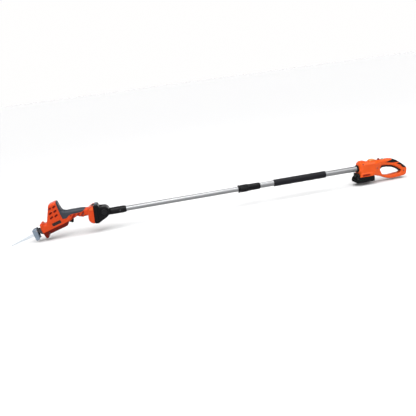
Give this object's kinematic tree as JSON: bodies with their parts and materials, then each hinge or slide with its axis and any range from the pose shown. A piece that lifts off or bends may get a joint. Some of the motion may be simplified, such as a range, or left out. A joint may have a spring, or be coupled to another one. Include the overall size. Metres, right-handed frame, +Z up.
{
  "type": "telescoping pole saw",
  "caption": "Cordless sabre-type pruning saw docked on the pivoting head of a telescopic aluminium pole, with a closed-loop rear handle and slide-in battery.",
  "frame": {"origin": "middle of the bounding box in plan, level with the lowest point, which is the tip of the blade", "axes": "+X along the pole from the blade to the rear handle, +Y across to the right side, +Z up; the pole runs parallel to X"},
  "size_m": [2.078, 0.07, 0.1822],
  "materials": {
    "orange_plastic": "semi-gloss moulded",
    "grip_rubber": "soft satin",
    "black_plastic": "fine texture",
    "foam": "closed-cell foam",
    "tube_aluminium": "satin anodised",
    "steel": "machined",
    "blade_steel": "ground",
    "shoe_steel": "satin blue-grey",
    "copper_winding": "enamelled",
    "nylon": "natural",
    "red_button": "satin",
    "indicator_lens": "clear tinted",
    "cell_wrap": "shrink wrap"
  },
  "bodies": {
    "pole": {"outer_tube": "tube_aluminium", "lock_collet": "nylon", "lock_sleeve": "black_plastic", "foam_grip": "foam", "nose_ring": "black_plastic", "rear_housing_left": "orange_plastic", "rear_housing_right": "orange_plastic", "rear_grip_pad": "grip_rubber", "loop_liner": "grip_rubber", "indicator_lens": "indicator_lens", "rear_switch": "black_plastic", "terminal_block": "nylon", "pole_cable": "black_plastic", "rear_screw_1": "steel", "rear_screw_2": "steel", "rear_screw_3": "steel"},
    "lock_collar": {"lock_collar": "black_plastic"},
    "rear_trigger": {"rear_trigger": "black_plastic"},
    "lockoff_button": {"lockoff_button": "red_button"},
    "battery": {"battery_case": "black_plastic", "battery_lid": "black_plastic", "battery_cell_1": "cell_wrap", "battery_cell_2": "cell_wrap", "battery_cell_3": "cell_wrap", "battery_cell_4": "cell_wrap"},
    "battery_latch": {"battery_latch": "grip_rubber"},
    "inner_pole": {"inner_tube": "tube_aluminium", "tube_end_bush": "black_plastic", "pole_socket": "black_plastic", "socket_screw": "steel", "coil_cable": "black_plastic"},
    "head": {"adapter_left": "black_plastic", "adapter_right": "black_plastic", "pivot_bolt": "steel"},
    "pivot_button": {"pivot_button": "grip_rubber"},
    "dock_release": {"dock_release": "steel"},
    "saw": {"saw_shell_left": "orange_plastic", "saw_shell_right": "orange_plastic", "saw_screw_1": "steel", "saw_screw_2": "steel", "saw_grip": "grip_rubber", "saw_switch": "black_plastic", "saw_contact_block": "nylon", "motor_can": "steel", "gear_plate": "steel", "gear_axle": "steel", "front_bush": "steel", "rear_bush": "steel", "plunger_boot": "grip_rubber", "shoe_bracket": "steel", "shoe_pin": "steel"},
    "saw_trigger": {"saw_trigger": "black_plastic"},
    "shoe": {"shoe": "shoe_steel"},
    "plunger": {"plunger": "steel", "blade": "blade_steel"},
    "blade_clamp": {"clamp_collar": "black_plastic"},
    "crank": {"crank_gear": "steel"},
    "rotor": {"motor_armature": "copper_winding", "motor_pinion": "steel", "cooling_fan": "black_plastic"}
  },
  "joints": [
    {"name": "pole_extend", "type": "slide", "parent": "pole", "child": "inner_pole", "axis": [1, 0, 0], "range_m": [0, 0.41]},
    {"name": "lock_collar_twist", "type": "hinge", "parent": "pole", "child": "lock_collar", "pos_m": [0.13, 0, 0.089], "axis": [1, 0, 0], "range_deg": [0, 90]},
    {"name": "head_pivot", "type": "hinge", "parent": "inner_pole", "child": "head", "pos_m": [-0.57283, 0, 0.09705], "axis": [0, 1, 0], "range_deg": [-30, 60]},
    {"name": "pivot_button_press", "type": "slide", "parent": "head", "child": "pivot_button", "axis": [0, 1, 0], "range_m": [0, 0.004], "stiffness_N_per_m": 900, "springref_m": -0.002},
    {"name": "saw_dock_slide", "type": "slide", "parent": "head", "child": "saw", "axis": [-0.0837, 0, -0.9965], "range_m": [0, 0.085]},
    {"name": "dock_release_press", "type": "slide", "parent": "head", "child": "dock_release", "axis": [-0.0837, 0, -0.9965], "range_m": [0, 0.003], "stiffness_N_per_m": 900, "springref_m": -0.002},
    {"name": "shoe_pivot", "type": "hinge", "parent": "saw", "child": "shoe", "pos_m": [-0.90192, 0, 0.05833], "axis": [0, 1, 0], "range_deg": [-8, 15]},
    {"name": "plunger_slide", "type": "slide", "parent": "saw", "child": "plunger", "axis": [0.9588, 0, 0.284], "range_m": [-0.0075, 0.0075]},
    {"name": "clamp_twist", "type": "hinge", "parent": "plunger", "child": "blade_clamp", "pos_m": [-0.89766, 0, 0.04395], "axis": [0.9588, 0, 0.284], "range_deg": [0, 60], "stiffness_Nm_per_rad": 0.05, "springref_deg": -5.73},
    {"name": "crank_spin", "type": "hinge", "parent": "saw", "child": "crank", "pos_m": [-0.8037, 0, 0.07179], "axis": [-0.284, 0, 0.9588], "continuous": true},
    {"name": "rotor_spin", "type": "hinge", "parent": "saw", "child": "rotor", "pos_m": [-0.77781, 0, 0.07945], "axis": [-0.284, 0, 0.9588], "continuous": true},
    {"name": "saw_trigger_press", "type": "hinge", "parent": "saw", "child": "saw_trigger", "pos_m": [-0.74582, 0, 0.08059], "axis": [0, -1, 0], "range_deg": [0, 8], "stiffness_Nm_per_rad": 1.2, "springref_deg": -5.73},
    {"name": "battery_slide", "type": "slide", "parent": "pole", "child": "battery", "axis": [-1, 0, 0], "range_m": [0, 0.09]},
    {"name": "battery_latch_press", "type": "slide", "parent": "battery", "child": "battery_latch", "axis": [1, 0, 0], "range_m": [0, 0.002], "stiffness_N_per_m": 900, "springref_m": -0.001},
    {"name": "rear_trigger_press", "type": "hinge", "parent": "pole", "child": "rear_trigger", "pos_m": [0.944, 0, 0.081], "axis": [0, 1, 0], "range_deg": [0, 7], "stiffness_Nm_per_rad": 1.5, "springref_deg": -5.73},
    {"name": "lockoff_press", "type": "slide", "parent": "pole", "child": "lockoff_button", "axis": [0, 0, -1], "range_m": [0, 0.003], "stiffness_N_per_m": 700, "springref_m": -0.002}
  ],
  "couplings": [
    {"joint": "rotor_spin", "follows": "crank_spin", "ratio": -5}
  ]
}
